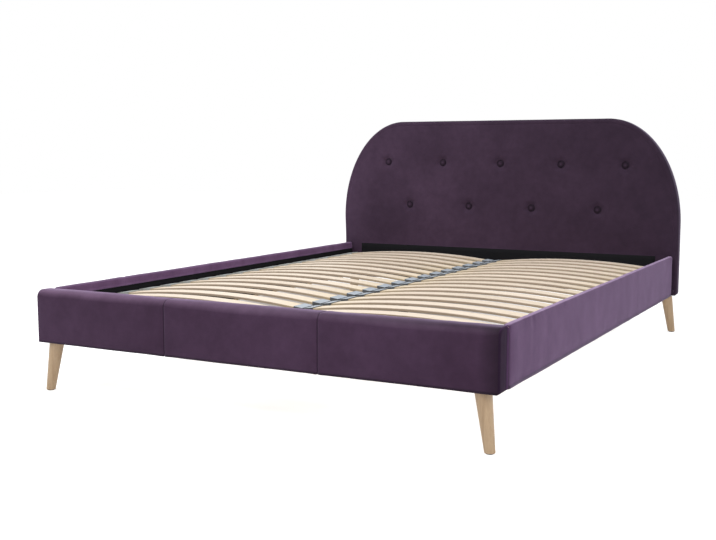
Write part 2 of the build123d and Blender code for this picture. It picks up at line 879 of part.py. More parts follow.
def all_nodes():
    nodes = {
        "headboard_board": headboard_board(),
        "headboard_foam": headboard_foam(),
        "headboard_cover": headboard_cover(),
        "headboard_back_lining": headboard_back_lining(),
        "headboard_lining_band": headboard_band(),
        "tuft_buttons": tuft_buttons(),
        "footboard_board": footboard_board(),
        "footboard_foam": footboard_foam(),
        "footboard_cover": footboard_cover(),
        "footboard_lining": footboard_lining(),
        "corner_brackets": corner_brackets(),
        "bracket_bolts": bracket_bolts(),
        "left_slat_holders": left_slat_holders(),
        "right_slat_holders": right_slat_holders(),
        "centre_slat_holders": centre_slat_holders(),
        "centre_beam": centre_beam(),
        "front_beam_hanger": front_beam_hanger(),
        "rear_beam_hanger": rear_beam_hanger(),
        "hanger_screws": hanger_screws(),
        "centre_leg_tube": centre_leg_tube(),
        "centre_leg_insert": centre_leg_insert(),
        "centre_leg_screws": centre_leg_screws(),
        "levelling_foot_stud": levelling_foot_stud(),
        "levelling_foot_pad": levelling_foot_pad(),
        "leg_plates": leg_plates(),
        "leg_bolts": leg_bolts(),
        "leg_plate_screws": leg_plate_screws(),
        "leg_glides": leg_glides(),
    }
    rail_pieces = {
        "rail_board": rail_board(),
        "rail_foam": rail_foam(),
        "rail_cover": rail_cover(),
        "rail_lining": rail_lining(),
        "slat_ledge": slat_ledge(),
    }
    for name, piece in rail_pieces.items():
        nodes["right_" + name] = piece
        nodes["left_" + name] = mirrored(piece)
    for name in leg_list():
        nodes[name + "_right_leg"] = leg(name, 1)
        nodes[name + "_left_leg"] = leg(name, -1)
    for k, place in enumerate(slat_places()):
        nodes[f"slat_pair_{k + 1:02d}"] = slat_row(place)
    return nodes


def main():
    os.makedirs("parts", exist_ok=True)
    for name, piece in all_nodes().items():
        shapes = piece if isinstance(piece, list) else [piece]
        solids = [solid for shape in shapes for solid in shape.solids()]
        placed = [Pos(0, centre_shift, 0) * solid for solid in solids]
        export_step(Compound(placed) if len(placed) > 1 else placed[0], f"parts/{name}.step")


main()
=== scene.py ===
import json
import math

import bmesh
import bpy
from mathutils import Matrix, Vector, noise
from mathutils.geometry import delaunay_2d_cdt


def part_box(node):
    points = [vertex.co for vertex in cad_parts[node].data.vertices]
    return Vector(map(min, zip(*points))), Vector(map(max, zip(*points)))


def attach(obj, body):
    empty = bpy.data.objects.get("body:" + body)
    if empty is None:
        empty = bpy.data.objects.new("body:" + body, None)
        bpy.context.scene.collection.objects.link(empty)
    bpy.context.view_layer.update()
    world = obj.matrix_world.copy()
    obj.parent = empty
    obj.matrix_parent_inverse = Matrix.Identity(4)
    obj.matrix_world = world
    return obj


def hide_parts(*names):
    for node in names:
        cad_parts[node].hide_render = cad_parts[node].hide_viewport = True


# Upholstered bed: velvet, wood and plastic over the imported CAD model.
# Metres, in the CAD model's frame. Lengths along the bed are first measured from
# the footboard's front face, as in the part's source, and then shifted.

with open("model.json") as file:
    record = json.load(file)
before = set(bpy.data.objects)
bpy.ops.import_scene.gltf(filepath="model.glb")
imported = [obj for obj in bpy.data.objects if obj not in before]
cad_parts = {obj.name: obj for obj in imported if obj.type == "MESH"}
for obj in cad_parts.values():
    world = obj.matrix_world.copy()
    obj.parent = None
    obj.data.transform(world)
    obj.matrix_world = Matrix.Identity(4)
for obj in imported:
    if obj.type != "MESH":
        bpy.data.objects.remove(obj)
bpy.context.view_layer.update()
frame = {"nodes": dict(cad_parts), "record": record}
nodes = frame["nodes"]

# Sizes that follow the CAD model
y_shift = -1.0855
frame_half = 0.805
frame_bottom = 0.162
frame_top = 0.336
rail_thickness = 0.022
rail_face = 0.7865
rail_edge_radius = 0.008
footboard_thickness = 0.078
footboard_half = 0.806
footboard_edge_radius = 0.024
footboard_end_radius = 0.008
seam_places = (-0.278, 0.266)
headboard_front = 2.126
headboard_back = 2.171
headboard_half = 0.826
headboard_top = 0.936
corner_width = 0.322
corner_height = 0.466
headboard_foot_radius = 0.014
headboard_rim_radius = 0.0115
fold_bottom = 0.306
footboard_fold_bottom = 0.300
hem_width = 0.013
lining_bottom = 0.171
lining_end_margin = 0.001
cover_thickness = 0.002
joint_gap = 0.0003
crown_height = 0.010
crown_start = 0.344
crown_full = 0.484
crown_drop_at_top = 0.006
upper_buttons = (0.735, 5, 0.292, 0.0028)
lower_buttons = (0.5315, 4, 0.310, 0.0016)
row_shift = 0.005
button_radius = 0.014
tuft_depth = 0.009
tuft_floor_radius = 0.016
tuft_mouth_radius = 0.042
tuft_reach = 0.16
border_seam_inset = 0.021
slat_arc_radius = 2.9425
slat_middle = 0.38875
slat_half_length = 0.38275
slat_end_height = 0.274
slat_rise = 0.025
ply_thickness = 0.0016
lining_thickness = 0.001
lining_band_half = 0.730
lining_band_drop = 0.003

# Fineness of the cloth meshes
rail_step = 0.012
headboard_step = 0.0055
top_arc_steps = 8
end_arc_steps = 6
lining_step = 0.02
weld_distance = 0.00005
headboard_weld_distance = 0.0001
touching = 0.001

# The row of stitches above the hems, and how near a seam holds the velvet
hem_height = 0.012
hem_depth = 0.0010
hem_reach = 0.003
edge_hold = 0.002

# Cloth simulation
padding_pressure = 4.0
simulated_frames = 12
rail_swell = 0.0025
footboard_swell = 0.004
headboard_swell = 0.005


# Meshes
def add_to_scene(thing):
    bpy.context.scene.collection.objects.link(thing)
    return thing


def smooth_mesh(name, points, faces, cloth):
    mesh = bpy.data.meshes.new(name)
    mesh.from_pydata(points, [], faces)
    mesh.materials.append(cloth)
    for polygon in mesh.polygons:
        polygon.use_smooth = True
    mesh.update()
    return mesh


def new_object(name, points, faces, cloth):
    return add_to_scene(bpy.data.objects.new(name, smooth_mesh(name, points, faces, cloth)))


def spread(low, high, step):
    """Evenly spaced values from low to high, no further apart than step."""
    count = max(1, math.ceil(abs(high - low) / step))
    return [low + (high - low) * k / count for k in range(count + 1)]


def with_stops(values, stops):
    """Adds the stops to a list of values and drops the values that lie close to one."""
    kept = [v for v in values if all(abs(v - s) > 0.002 for s in stops)]
    return sorted(kept + list(stops))


def rounded_top_loop(low, high, bottom, top, radius, side_stops, base_stops, step):
    """A closed outline: up the low side, over the rounded top, down the high side, back below."""
    up = with_stops(spread(bottom, top - radius, step), side_stops)
    loop = [(low, z) for z in up[:-1]]
    for k in range(top_arc_steps + 1):
        angle = math.pi - math.pi / 2 * k / top_arc_steps
        loop.append((low + radius + radius * math.cos(angle), top - radius + radius * math.sin(angle)))
    loop += [(v, top) for v in spread(low + radius, high - radius, step)[1:-1]]
    for k in range(top_arc_steps + 1):
        angle = math.pi / 2 - math.pi / 2 * k / top_arc_steps
        loop.append((high - radius + radius * math.cos(angle), top - radius + radius * math.sin(angle)))
    loop += [(high, z) for z in reversed(spread(bottom, top - radius, step)[:-1])]
    loop += [(v, bottom) for v in reversed(with_stops(spread(low, high, step), base_stops)[1:-1])]
    return loop


def ring_faces(rings, size):
    """Quads between closed rings of size points each."""
    faces = []
    for r in range(rings - 1):
        for k in range(size):
            n = (k + 1) % size
            faces.append((r * size + k, r * size + n, (r + 1) * size + n, (r + 1) * size + k))
    return faces


def smooth_step(low, high, value):
    t = min(1.0, max(0.0, (value - low) / (high - low)))
    return t * t * (3 - 2 * t)


def bump_at(distance, width):
    return math.exp(-((distance / width) ** 2))


def swell(point, scale, seed):
    """A slow, even unevenness of padding, between -1 and 1."""
    return noise.noise(Vector(point) * scale + Vector((seed, seed * 2, seed * 3)))


def push(piece, amount):
    """Moves each point along its normal by amount(point, normal), in metres."""
    mesh = piece.data
    normals = [Vector(n.vector) for n in mesh.vertex_normals]
    for vertex, normal in zip(mesh.vertices, normals):
        vertex.co += normal * amount(vertex.co, normal)
    mesh.update()


def hem_line(point, outward):
    """How far the row of stitches above the hem draws the velvet in."""
    return -hem_depth * bump_at(point.z - frame_bottom - hem_height, hem_reach) * max(0.0, outward)


def make_cloth(piece, thickness=cover_thickness):
    """Gives an open cloth surface its thickness, inwards."""
    solid = piece.modifiers.new("thickness", "SOLIDIFY")
    solid.thickness = thickness
    solid.offset = -1
    apply_modifiers(piece)
    return piece


def apply_modifiers(piece):
    graph = bpy.context.evaluated_depsgraph_get()
    mesh = bpy.data.meshes.new_from_object(piece.evaluated_get(graph))
    piece.modifiers.clear()
    piece.data = mesh


def fill_with_padding(piece, is_held, limit):
    """Lets the padding press the cloth outwards, by up to limit, between the places that hold it."""
    start = [vertex.co.copy() for vertex in piece.data.vertices]
    held = piece.vertex_groups.new(name="held")
    held.add([k for k, place in enumerate(start) if is_held(place)], 1.0, "REPLACE")
    cloth = piece.modifiers.new("padding", "CLOTH")
    cloth.settings.quality = 5
    cloth.settings.vertex_group_mass = held.name
    cloth.settings.use_pressure = True
    cloth.settings.uniform_pressure_force = padding_pressure
    cloth.settings.effector_weights.gravity = 0
    for step in range(1, simulated_frames + 1):
        bpy.context.scene.frame_set(step)
    apply_modifiers(piece)
    bpy.context.scene.frame_set(1)
    piece.vertex_groups.clear()
    for vertex, place in zip(piece.data.vertices, start):
        move = vertex.co - place
        if move.length > 1e-7:
            vertex.co = place + move.normalized() * limit * (1 - math.exp(-move.length / limit))
    piece.data.update()


def mirror(piece):
    """Turns a piece into its mirror image on the bed's other side."""
    piece.data.transform(Matrix.Scale(-1, 4, (1, 0, 0)))
    piece.data.flip_normals()


# Materials
def material(name, roughness=0.5, specular=0.5):
    made = bpy.data.materials.new(name)
    made.use_nodes = True
    tree = made.node_tree
    shader = tree.nodes["Principled BSDF"]
    shader.inputs["Roughness"].default_value = roughness
    shader.inputs["Specular IOR Level"].default_value = specular
    return made, tree, shader


def paint(tree, shader, colour):
    tree.links.new(colour, shader.inputs["Base Color"])


def object_coordinates(tree, scale=(1, 1, 1)):
    where = tree.nodes.new("ShaderNodeTexCoord")
    mapping = tree.nodes.new("ShaderNodeMapping")
    mapping.inputs["Scale"].default_value = scale
    tree.links.new(where.outputs["Object"], mapping.inputs["Vector"])
    return mapping.outputs["Vector"]


def noise_texture(tree, vector, scale, detail=3.0, roughness=0.5):
    texture = tree.nodes.new("ShaderNodeTexNoise")
    texture.inputs["Scale"].default_value = scale
    texture.inputs["Detail"].default_value = detail
    texture.inputs["Roughness"].default_value = roughness
    tree.links.new(vector, texture.inputs["Vector"])
    return texture.outputs["Fac"]


def ramp(tree, value, stops):
    """A colour ramp through (position, colour) stops."""
    node = tree.nodes.new("ShaderNodeValToRGB")
    elements = node.color_ramp.elements
    while len(elements) < len(stops):
        elements.new(0.5)
    for element, (position, colour) in zip(elements, stops):
        element.position = position
        element.color = (*colour, 1)
    tree.links.new(value, node.inputs["Fac"])
    return node.outputs["Color"]


def blend(tree, value, low_colour, high_colour):
    return ramp(tree, value, ((0.3, low_colour), (0.7, high_colour)))


def maths(tree, operation, a, b=None, c=None):
    node = tree.nodes.new("ShaderNodeMath")
    node.operation = operation
    for socket, value in zip(node.inputs, (a, b, c)):
        if value is None:
            continue
        if isinstance(value, (int, float)):
            socket.default_value = value
        else:
            tree.links.new(value, socket)
    return node.outputs["Value"]


def mix_colours(tree, factor, first, second, kind="MIX"):
    node = tree.nodes.new("ShaderNodeMix")
    node.data_type = "RGBA"
    node.blend_type = kind
    for socket, value in ((node.inputs[0], factor), (node.inputs[6], first), (node.inputs[7], second)):
        if isinstance(value, (int, float)):
            socket.default_value = value
        elif isinstance(value, tuple):
            socket.default_value = (*value, 1)
        else:
            tree.links.new(value, socket)
    return node.outputs[2]


def times(tree, first, second):
    return mix_colours(tree, 1.0, first, second, "MULTIPLY")


def bump(tree, shader, height, strength, distance):
    node = tree.nodes.new("ShaderNodeBump")
    node.inputs["Strength"].default_value = strength
    node.inputs["Distance"].default_value = distance
    tree.links.new(height, node.inputs["Height"])
    tree.links.new(node.outputs["Normal"], shader.inputs["Normal"])


def separate(tree, vector):
    node = tree.nodes.new("ShaderNodeSeparateXYZ")
    tree.links.new(vector, node.inputs[0])
    return node.outputs["X"], node.outputs["Y"], node.outputs["Z"]


def inverse(tree, value):
    return maths(tree, "SUBTRACT", 1.0, value)


def length_of(tree, a, b):
    """The length of a vector with the two parts a and b."""
    squares = maths(tree, "ADD", maths(tree, "MULTIPLY", a, a), maths(tree, "MULTIPLY", b, b))
    return maths(tree, "SQRT", squares)


def place_parts(tree):
    """The shaded point's three coordinates."""
    return separate(tree, object_coordinates(tree))


def near_place(tree, value, place, width):
    """1 where value is at place, falling to 0 at width from it."""
    away = maths(tree, "ABSOLUTE", maths(tree, "SUBTRACT", value, place))
    return inverse(tree, maths(tree, "MINIMUM", maths(tree, "DIVIDE", away, width), 1.0))


def beyond(tree, value, start, width):
    """0 below start, rising to 1 over width."""
    share = maths(tree, "DIVIDE", maths(tree, "SUBTRACT", value, start), width)
    return maths(tree, "MINIMUM", maths(tree, "MAXIMUM", share, 0.0), 1.0)


def paint_light_on_velvet(fabric, mask, gain):
    """Multiplies a velvet's colour by gain where mask is 1: painted light where gain is above 1, painted
    shade where it is below.
    """
    _, tree, shader = fabric
    gain = gain if isinstance(gain, tuple) else (gain, gain, gain)
    colour = shader.inputs["Base Color"].links[0].from_socket
    paint(tree, shader, mix_colours(tree, mask, colour, times(tree, colour, gain)))


def facing(tree, axis, start, width):
    """0 where the surface's normal along an axis is below start, rising to 1 over width."""
    geometry = tree.nodes.new("ShaderNodeNewGeometry")
    parts = separate(tree, geometry.outputs["Normal"])
    return beyond(tree, parts["XYZ".index(axis)], start, width)


def distance_to_buttons(tree):
    """Distance of the shaded point from the nearest button's middle, along the headboard."""
    across, _, up = place_parts(tree)
    nearest = 1.0
    for bx, bz in button_places():
        dx = maths(tree, "SUBTRACT", across, bx)
        dz = maths(tree, "SUBTRACT", up, bz)
        nearest = maths(tree, "MINIMUM", length_of(tree, dx, dz), nearest)
    return nearest


def velvet(name, dark, light, sheen=0.6, brush=(1, 1, 1)):
    """Short cut pile: brushed patches where the nap lies differently, fine fibres, and a sheen."""
    made, tree, shader = material(name, roughness=0.85, specular=0.1)
    where = object_coordinates(tree)
    nap = noise_texture(tree, object_coordinates(tree, brush), scale=3.5, detail=4, roughness=0.6)
    mottle = noise_texture(tree, where, scale=30, detail=3, roughness=0.6)
    fibres = noise_texture(tree, where, scale=1400, detail=2, roughness=0.7)
    colour = blend(tree, nap, dark, light)
    cloud = blend(tree, mottle, (0.91,) * 3, (1.09,) * 3)
    speckle = blend(tree, fibres, (0.82,) * 3, (1.12,) * 3)
    paint(tree, shader, times(tree, times(tree, colour, cloud), speckle))
    shader.inputs["Sheen Weight"].default_value = sheen
    shader.inputs["Sheen Roughness"].default_value = 0.35
    shader.inputs["Sheen Tint"].default_value = (0.80, 0.62, 0.95, 1)
    bump(tree, shader, fibres, strength=0.25, distance=0.0004)
    return made, tree, shader


def lining_cloth():
    """Black non-woven cloth with its pressed dots."""
    made, tree, shader = material("black_nonwoven_lining", roughness=0.95, specular=0.2)
    where = object_coordinates(tree)
    dots = tree.nodes.new("ShaderNodeTexVoronoi")
    dots.inputs["Scale"].default_value = 420
    tree.links.new(where, dots.inputs["Vector"])
    fluff = noise_texture(tree, where, scale=300, detail=4, roughness=0.7)
    black, worn_black = (0.003, 0.003, 0.004), (0.008, 0.008, 0.010)
    paint(tree, shader, ramp(tree, fluff, ((0.3, black), (0.75, worn_black))))
    bump(tree, shader, dots.outputs["Distance"], strength=0.4, distance=0.0005)
    return made


def grain(name, stretch, pale, deep, fine_scale=18, gloss=0.45):
    """Wood whose grain runs where stretch is small."""
    made, tree, shader = material(name, gloss)
    where = object_coordinates(tree, stretch)
    bands = noise_texture(tree, where, scale=1.0, detail=5, roughness=0.6)
    pores = noise_texture(tree, where, fine_scale, detail=3, roughness=0.6)
    colour = ramp(tree, bands, ((0.3, deep), (0.55, pale), (0.8, deep)))
    flecks = ramp(tree, pores, ((0.25, (0.86, 0.82, 0.76)), (0.5, (1.0, 1.0, 1.0))))
    mixed = times(tree, colour, flecks)
    paint(tree, shader, mixed)
    bump(tree, shader, pores, strength=0.12, distance=0.0003)
    return made, tree, shader, mixed


def slat_wood():
    """Pale bent laminated wood: grain across the bed, painted shade and plies on the edges, warmer at the
    ends.
    """
    pale, deep = (0.90, 0.79, 0.68), (0.80, 0.68, 0.55)
    made, tree, shader, mixed = grain("slat_bentwood", (2.2, 55, 55), pale, deep, fine_scale=14, gloss=0.5)
    across, _, up = place_parts(tree)
    offset = maths(tree, "SUBTRACT", maths(tree, "ABSOLUTE", across), slat_middle)
    centre = slat_end_height + slat_rise - slat_arc_radius
    rise = maths(tree, "SUBTRACT", up, centre)
    depth = maths(tree, "SUBTRACT", length_of(tree, offset, rise), slat_arc_radius)
    plies = maths(tree, "SINE", maths(tree, "MULTIPLY", depth, 2 * math.pi / ply_thickness))
    geometry = tree.nodes.new("ShaderNodeNewGeometry")
    _, face_y, _ = separate(tree, geometry.outputs["Normal"])
    on_edge = maths(tree, "GREATER_THAN", maths(tree, "ABSOLUTE", face_y), 0.6)
    ply_mark = maths(tree, "MULTIPLY", on_edge, maths(tree, "GREATER_THAN", plies, 0.2))
    shaded_edge_brown, glue_brown, end_yellow = (0.27, 0.19, 0.125), (0.20, 0.13, 0.08), (0.80, 0.66, 0.38)
    # Painted shade on the front and back edges of each slat
    shaded_edges = mix_colours(tree, maths(tree, "MULTIPLY", on_edge, 0.75), mixed, shaded_edge_brown)
    layered = mix_colours(tree, maths(tree, "MULTIPLY", ply_mark, 0.35), shaded_edges, glue_brown)
    reach = maths(tree, "DIVIDE", maths(tree, "ABSOLUTE", offset), slat_half_length)
    near_end = maths(tree, "POWER", reach, 5.0)
    warm = mix_colours(tree, maths(tree, "MULTIPLY", near_end, 0.5), layered, end_yellow)
    piece = tree.nodes.new("ShaderNodeObjectInfo")
    darkest, palest = (0.90, 0.88, 0.84), (1.03, 1.02, 1.0)
    shade = ramp(tree, piece.outputs["Random"], ((0.0, darkest), (1.0, palest)))
    paint(tree, shader, times(tree, warm, shade))
    return made


def plastic(name, colour, side_shade_share=0.85):
    """Moulded plastic with a fine spark-eroded skin, with painted shade on its sides and in its slots."""
    made, tree, shader = material(name)
    where = object_coordinates(tree)
    cloud = noise_texture(tree, where, scale=30)
    skin = noise_texture(tree, where, scale=900, detail=2)
    darker = tuple(0.85 * c for c in colour)
    clouded = blend(tree, cloud, darker, colour)
    side = times(tree, clouded, (side_shade_share,) * 3)
    # Painted shade on faces that do not face up
    paint(tree, shader, mix_colours(tree, facing(tree, "Z", 0.4, 0.3), side, clouded))
    bump(tree, shader, skin, strength=0.15, distance=0.0003)
    return made


def metal(name, colour, roughness, metallic):
    """Plated or painted steel with faint streaks."""
    made, tree, shader = material(name)
    streaks = noise_texture(tree, object_coordinates(tree, (20, 20, 200)), scale=1.0, detail=4)
    darker = tuple(0.75 * c for c in colour)
    paint(tree, shader, blend(tree, streaks, darker, colour))
    shader.inputs["Metallic"].default_value = metallic
    rough = maths(tree, "MULTIPLY_ADD", streaks, 0.2, roughness - 0.1)
    tree.links.new(rough, shader.inputs["Roughness"])
    return made


def flecked_board():
    """Raw particle board: flat chips of several shades."""
    made, tree, shader = material("frame_particle_board", roughness=0.9)
    chips = tree.nodes.new("ShaderNodeTexVoronoi")
    chips.inputs["Scale"].default_value = 260
    tree.links.new(object_coordinates(tree, (1, 0.6, 1)), chips.inputs["Vector"])
    red, _, _ = separate(tree, chips.outputs["Color"])
    dark, middle, pale = (0.34, 0.22, 0.12), (0.50, 0.36, 0.21), (0.62, 0.48, 0.30)
    paint(tree, shader, ramp(tree, red, ((0.0, dark), (0.5, middle), (1.0, pale))))
    bump(tree, shader, red, strength=0.2, distance=0.0004)
    return made


def foam_padding():
    made, tree, shader = material("cream_foam_padding", roughness=0.95)
    where = object_coordinates(tree)
    cells = noise_texture(tree, where, scale=500, roughness=0.7)
    paint(tree, shader, blend(tree, cells, (0.66, 0.60, 0.42), (0.82, 0.77, 0.60)))
    bump(tree, shader, cells, strength=0.5, distance=0.0006)
    return made


# Velvet of the rails
def rail_velvet(name, cloth, seed, pucker_at):
    """The right rail's cover, with its ends drawn in a little where they meet the end boards."""
    low = frame_half - rail_thickness
    loop = rounded_top_loop(
        low, frame_half, frame_bottom, frame_top, rail_edge_radius,
        (fold_bottom,), (frame_half - hem_width,), rail_step,
    )
    start = footboard_thickness + joint_gap
    end = headboard_front - joint_gap
    draw_in = 0.003
    inside_reach = 0.004
    ease = (0.0, 0.001, 0.0025, 0.005, 0.009)
    places = [start + e for e in ease[:-1]] + spread(start + ease[-1], end - ease[-1], rail_step)
    places += [end - e for e in reversed(ease[:-1])]
    centre = ((low + frame_half) / 2, (frame_bottom + frame_top) / 2)
    points = []
    for y in places:
        near = min(y - start, end - y)
        inset = draw_in * max(0.0, 1 - near / ease[-1]) ** 2
        for u, z in loop:
            x = u + (centre[0] - u) * inset / (rail_thickness / 2)
            raised = z - (z - centre[1]) * inset / (frame_top - centre[1]) if z > centre[1] else z
            points.append((x, y + y_shift, raised))
    open_faces = []
    for face in ring_faces(len(places), len(loop)):
        middle = sum((Vector(points[k]) for k in face), Vector()) / 4
        inside = middle.x < low + inside_reach and middle.z < fold_bottom
        below = middle.z < frame_bottom + touching and middle.x < frame_half - hem_width
        if not inside and not below:
            open_faces.append(face)
    at_fold = loop.index((low, fold_bottom))
    outer = [points[r * len(loop) + at_fold] for r in range(len(places))]
    fold_return(points, open_faces, [(rail_face - touching, y, fold_bottom) for x, y, z in outer], outer)
    piece = new_object(name, points, open_faces, cloth)
    weld(piece, weld_distance)
    drop_loose_points(piece)

    def is_held(place):
        end_near = min(place.y - y_shift - start, end + y_shift - place.y)
        sewn = place.z < frame_bottom + hem_height or place.x < frame_half - edge_hold
        return end_near < rail_step or sewn

    fill_with_padding(piece, is_held, rail_swell)

    slow, fine = 0.0009, 0.0005
    crease_depth, crease_width, crease_length = 0.0016, 0.006, 0.035
    ruffle_height, ruffle_turns, ruffle_reach = 0.0005, 160, 0.05

    def relief(point, normal):
        """Uneven padding, one pucker below the top edge with small ruffles beside it, and the hem."""
        if point.z < fold_bottom + touching and point.x < rail_face:
            return 0.0
        padding = slow * swell((point.x * 0.5, point.y, point.z), 5, seed)
        padding += fine * swell(point, 16, seed + 4)
        down = frame_top - point.z
        past = point.y - y_shift - pucker_at
        crease = -crease_depth * bump_at(past, crease_width) * math.exp(-down / crease_length)
        ruffle = ruffle_height * math.sin(past * ruffle_turns) * bump_at(past, ruffle_reach)
        return padding + crease + ruffle * math.exp(-down / ruffle_reach) + hem_line(point, normal.x)

    push(piece, relief)
    return make_cloth(piece)


def fold_return(points, faces, outer, inner):
    """Adds the strip of a fold that is turned under, between two rows of points."""
    first = len(points)
    points += outer + inner
    count = len(outer)
    for k in range(count - 1):
        faces.append((first + k, first + k + 1, first + count + k + 1, first + count + k))


def drop_loose_points(piece):
    """Removes points that no face uses."""
    mesh = piece.data
    used = sorted({v for polygon in mesh.polygons for v in polygon.vertices})
    number = {old: new for new, old in enumerate(used)}
    points = [tuple(mesh.vertices[v].co) for v in used]
    faces = [tuple(number[v] for v in polygon.vertices) for polygon in mesh.polygons]
    piece.data = smooth_mesh(mesh.name, points, faces, mesh.materials[0])


# Velvet of the footboard
def footboard_velvet(cloth):
    """The footboard's cover: three panels with sunk seams, rounded ends and a fold over the back."""
    loop = rounded_top_loop(
        0.0, footboard_thickness, frame_bottom, frame_top, footboard_edge_radius,
        (), (hem_width, footboard_thickness - hem_width), rail_step,
    )
    heights = spread(frame_bottom, frame_top - footboard_edge_radius, rail_step)
    back_stops = with_stops(heights[:-1], (lining_bottom, footboard_fold_bottom)) + heights[-1:]
    loop = replace_high_side(loop, footboard_thickness, back_stops)
    near_seam = (0.0, 0.0012, 0.0024, 0.004, 0.007, 0.012, 0.02)
    stops = [s + sign * d for s in seam_places for d in near_seam for sign in (-1, 1)]
    turned_under = 0.0135
    inner_end = footboard_half - hem_width
    flat_end = footboard_half - footboard_end_radius
    places = with_stops(spread(-flat_end, flat_end, rail_step), sorted({*stops, -inner_end, inner_end}))
    places = sorted(set(round(p, 6) for p in places))
    centre = (footboard_thickness / 2, (frame_bottom + frame_top) / 2)
    half_y = footboard_thickness / 2
    half_z = (frame_top - frame_bottom) / 2
    radius = footboard_end_radius
    end_rings = []
    for k in range(1, end_arc_steps + 1):
        angle = math.pi / 2 * k / end_arc_steps
        end_rings.append((flat_end + radius * math.sin(angle), radius * (1 - math.cos(angle))))
    end_rings += [(footboard_half, radius + inwards) for inwards in (0.006, 0.014, 0.022, 0.030)]
    rings = [(-x, inset) for x, inset in reversed(end_rings)]
    rings += [(x, 0.0) for x in places] + end_rings
    points = []
    for x, inset in rings:
        for v, z in loop:
            points.append((
                x,
                v + (centre[0] - v) * inset / half_y + y_shift,
                z + (centre[1] - z) * inset / half_z,
            ))
    size = len(loop)
    faces = []
    for face in ring_faces(len(rings), size):
        middle = sum((Vector(points[k]) for k in face), Vector()) / 4
        y = middle.y - y_shift
        inside = abs(middle.x) < inner_end
        at_back = inside and y > footboard_thickness - touching
        behind = at_back and lining_bottom < middle.z < footboard_fold_bottom
        at_bottom = inside and middle.z < frame_bottom + touching
        below = at_bottom and hem_width < y < footboard_thickness - hem_width
        if not behind and not below:
            faces.append(tuple(reversed(face)))
    faces.append(tuple(range(size)))
    faces.append(tuple(reversed(range((len(rings) - 1) * size, len(rings) * size))))
    back = footboard_thickness + y_shift
    back_row = [(x, back, footboard_fold_bottom) for x, _ in rings if abs(x) < inner_end + 1e-6]
    fold_return(points, faces, back_row, [(x, y - turned_under, z) for x, y, z in back_row])
    piece = new_object("footboard_velvet", points, faces, cloth)
    weld(piece, weld_distance)
    drop_loose_points(piece)

    def is_held(place):
        sewn = min(abs(place.x - s) for s in seam_places) < edge_hold
        low = place.z < frame_bottom + hem_height
        behind = place.y - y_shift > footboard_thickness - footboard_edge_radius
        return sewn or low or behind or abs(place.x) > flat_end - 0.004

    fill_with_padding(piece, is_held, footboard_swell)

    slow, fine = 0.0010, 0.0004
    seam_depth, seam_width = 0.0013, 0.0018
    lip_height, lip_place, lip_width = 0.0006, 0.012, 0.010

    def relief(point, normal):
        """Sunk seams with a soft lip, uneven padding, the hem, and a fold at each end."""
        at_fold = abs(point.z - footboard_fold_bottom) < 1e-5 and normal.z < -0.5
        if at_fold and point.y - y_shift < footboard_thickness - 0.002:
            return 0.0
        nearest = min(abs(point.x - s) for s in seam_places)
        seam = -seam_depth * bump_at(nearest, seam_width)
        seam += lip_height * bump_at(nearest - lip_place, lip_width)
        padding = slow * swell((point.x, point.y, point.z * 0.6), 4.5, 7)
        padding += fine * swell(point, 18, 11)
        right_top = bump_at(point.x - 0.62, 0.16) * math.exp(-(frame_top - point.z) / 0.06)
        ruffle = 0.0007 * swell((point.x, point.z * 3, 0), 24, 19) * right_top
        fold = 0.0
        if abs(point.x) > footboard_half - 0.002:
            y = point.y - y_shift
            fold = -0.0012 * bump_at(y - 0.050, 0.006) + 0.0010 * bump_at(y - 0.064, 0.006)
        return seam + padding + ruffle + hem_line(point, -normal.y) + fold

    push(piece, relief)
    return make_cloth(piece)


def replace_high_side(loop, high, heights):
    """Puts the given heights on an outline's high side."""
    kept = [p for p in loop if abs(p[0] - high) > 1e-6]
    at = max(k for k, p in enumerate(kept) if p[1] > frame_top - footboard_edge_radius) + 1
    return kept[:at] + [(high, z) for z in reversed(heights)] + kept[at:]


# Velvet of the headboard
def headboard_outline():
    """The closed outline, anticlockwise from the left foot, each point with its outward normal."""
    half = headboard_half
    spring = headboard_top - corner_height
    flat = half - corner_width
    foot = headboard_foot_radius
    trail = []
    for x in spread(-half + foot, half - foot, headboard_step)[:-1]:
        trail.append((x, frame_bottom, 0.0, -1.0))
    trail += arc_trail(half - foot, frame_bottom + foot, foot, foot, -90, 0)
    trail += [(half, z, 1.0, 0.0) for z in spread(frame_bottom + foot, spring, headboard_step)[1:-1]]
    trail += arc_trail(flat, spring, corner_width, corner_height, 0, 90)
    trail += [(x, headboard_top, 0.0, 1.0) for x in spread(flat, -flat, headboard_step)[1:-1]]
    trail += arc_trail(-flat, spring, corner_width, corner_height, 90, 180)
    trail += [(-half, z, -1.0, 0.0) for z in spread(spring, frame_bottom + foot, headboard_step)[1:-1]]
    trail += arc_trail(-half + foot, frame_bottom + foot, foot, foot, 180, 270)[:-1]
    return trail


def arc_trail(x, z, wide, tall, start, end):
    """An elliptical corner of the outline, between two angles in degrees."""
    length = math.radians(end - start) * (wide + tall) / 2
    trail = []
    step = headboard_step * math.radians(end - start) / length
    for angle in spread(math.radians(start), math.radians(end), step):
        c, s = math.cos(angle), math.sin(angle)
        normal = Vector((c / wide, s / tall)).normalized()
        trail.append((x + wide * c, z + tall * s, normal.x, normal.y))
    return trail


def crown(height):
    """How far the front's padding swells out at a height."""
    rise = crown_height * smooth_step(crown_start, crown_full, height)
    drop = crown_drop_at_top * max(0.0, (height - crown_full) / (headboard_top - crown_full)) ** 2
    return rise - drop


def button_places():
    places = []
    for height, count, spacing, fall in (upper_buttons, lower_buttons):
        for k in range(count):
            step = k - (count - 1) / 2
            places.append((step * spacing + row_shift, height - fall * step))
    return places


